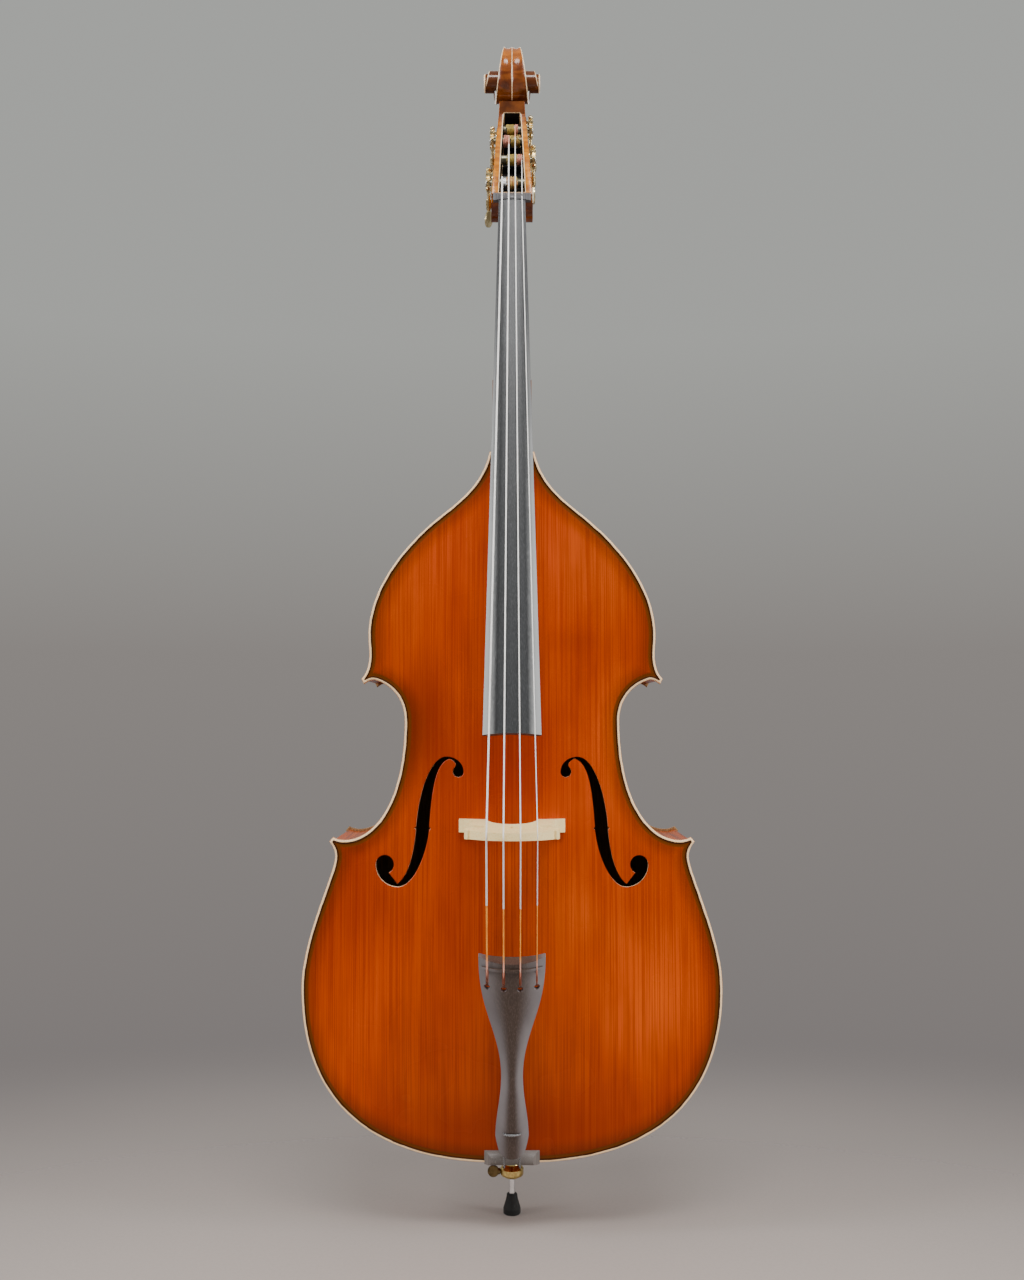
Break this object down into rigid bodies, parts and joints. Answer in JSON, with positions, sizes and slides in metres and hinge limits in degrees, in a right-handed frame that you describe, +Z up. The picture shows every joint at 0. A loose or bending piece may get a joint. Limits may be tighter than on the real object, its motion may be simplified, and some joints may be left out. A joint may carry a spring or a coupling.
{
  "type": "double bass",
  "caption": "Bowed string instrument with an arched hollow wooden body, long neck, scroll, geared tuning machines, bridge, tailpiece and sliding endpin.",
  "frame": {"origin": "centre of the lower face of the endpin's rubber foot, with the endpin slid in as in the picture", "axes": "+Z up along the endpin, the strings face -Y, and the bass (E string) side is -X"},
  "size_m": [0.66, 0.4265, 1.966],
  "materials": {
    "spruce_top": "glossy orange-brown oil varnish on spruce",
    "maple_body": "glossy orange-brown oil varnish on flamed maple",
    "maple_neck": "satin varnish on maple",
    "inner_wood": "bare planed spruce",
    "ebony": "oiled satin ebony",
    "bridge_maple": "bare pale maple",
    "string_steel": "flat-wound steel",
    "string_silk": "silk wrap",
    "brass": "polished, lightly tarnished",
    "screw_steel": "satin",
    "steel_cable": "stranded",
    "rod_chrome": "polished",
    "foot_rubber": "matte",
    "aged_bronze": "dark aged bronze"
  },
  "bodies": {
    "body": {"top_plate": "spruce_top", "back_plate": "maple_body", "rib_lower_left": "maple_body", "rib_lower_right": "maple_body", "rib_waist_left": "maple_body", "rib_waist_right": "maple_body", "rib_upper_left": "maple_body", "rib_upper_right": "maple_body", "top_block": "inner_wood", "bottom_block": "inner_wood", "corner_blocks": "inner_wood", "linings_top": "inner_wood", "linings_back": "inner_wood", "bass_bar": "inner_wood", "sound_post": "inner_wood", "neck_and_scroll": "maple_neck", "fingerboard": "ebony", "nut": "ebony", "saddle": "ebony", "bridge": "bridge_maple", "tailpiece": "ebony", "tail_fret": "ebony", "tail_wire": "steel_cable", "endpin_plug": "ebony", "endpin_collar": "brass", "machine_plates": "brass", "plate_screws": "screw_steel", "string_e": "string_steel", "string_a": "string_steel", "string_d": "string_steel", "string_g": "string_steel"},
    "endpin": {"endpin_rod": "rod_chrome", "endpin_foot": "foot_rubber"},
    "thumb_screw": {"endpin_screw": "aged_bronze"},
    "key_e": {"worm_e": "brass", "key_e": "brass"},
    "roller_e": {"roller_e": "brass", "wheel_e": "brass", "wheel_screw_e": "screw_steel", "winding_e": "string_silk"},
    "key_a": {"worm_a": "brass", "key_a": "brass"},
    "roller_a": {"roller_a": "brass", "wheel_a": "brass", "wheel_screw_a": "screw_steel", "winding_a": "string_silk"},
    "key_d": {"worm_d": "brass", "key_d": "brass"},
    "roller_d": {"roller_d": "brass", "wheel_d": "brass", "wheel_screw_d": "screw_steel", "winding_d": "string_silk"},
    "key_g": {"worm_g": "brass", "key_g": "brass"},
    "roller_g": {"roller_g": "brass", "wheel_g": "brass", "wheel_screw_g": "screw_steel", "winding_g": "string_silk"}
  },
  "joints": [
    {"name": "endpin_slide", "type": "slide", "parent": "body", "child": "endpin", "axis": [0, 0, -1], "range_m": [0, 0.27]},
    {"name": "thumb_screw_turn", "type": "hinge", "parent": "body", "child": "thumb_screw", "pos_m": [-0.02, 0, 0.067], "axis": [1, 0, 0], "range_deg": [0, 720]},
    {"name": "key_e_turn", "type": "hinge", "parent": "body", "child": "key_e", "pos_m": [-0.0398, -0.03204, 1.71097], "axis": [0, -0.5299, 0.848], "continuous": true},
    {"name": "roller_e_turn", "type": "hinge", "parent": "body", "child": "roller_e", "pos_m": [-0.032, -0.048, 1.701], "axis": [-1, 0, 0], "continuous": true},
    {"name": "key_a_turn", "type": "hinge", "parent": "body", "child": "key_a", "pos_m": [-0.03368, 0.00864, 1.80233], "axis": [0, -0.5299, 0.848], "continuous": true},
    {"name": "roller_a_turn", "type": "hinge", "parent": "body", "child": "roller_a", "pos_m": [-0.02588, -0.00733, 1.79235], "axis": [-1, 0, 0], "continuous": true},
    {"name": "key_d_turn", "type": "hinge", "parent": "body", "child": "key_d", "pos_m": [0.03203, 0.01962, 1.82699], "axis": [0, -0.5299, 0.848], "continuous": true},
    {"name": "roller_d_turn", "type": "hinge", "parent": "body", "child": "roller_d", "pos_m": [0.02423, 0.00366, 1.81702], "axis": [1, 0, 0], "continuous": true},
    {"name": "key_g_turn", "type": "hinge", "parent": "body", "child": "key_g", "pos_m": [0.03644, -0.00967, 1.76122], "axis": [0, -0.5299, 0.848], "continuous": true},
    {"name": "roller_g_turn", "type": "hinge", "parent": "body", "child": "roller_g", "pos_m": [0.02864, -0.02563, 1.75124], "axis": [1, 0, 0], "continuous": true}
  ],
  "couplings": [
    {"joint": "roller_e_turn", "follows": "key_e_turn", "ratio": -0.05},
    {"joint": "roller_a_turn", "follows": "key_a_turn", "ratio": -0.05},
    {"joint": "roller_d_turn", "follows": "key_d_turn", "ratio": -0.05},
    {"joint": "roller_g_turn", "follows": "key_g_turn", "ratio": -0.05}
  ]
}
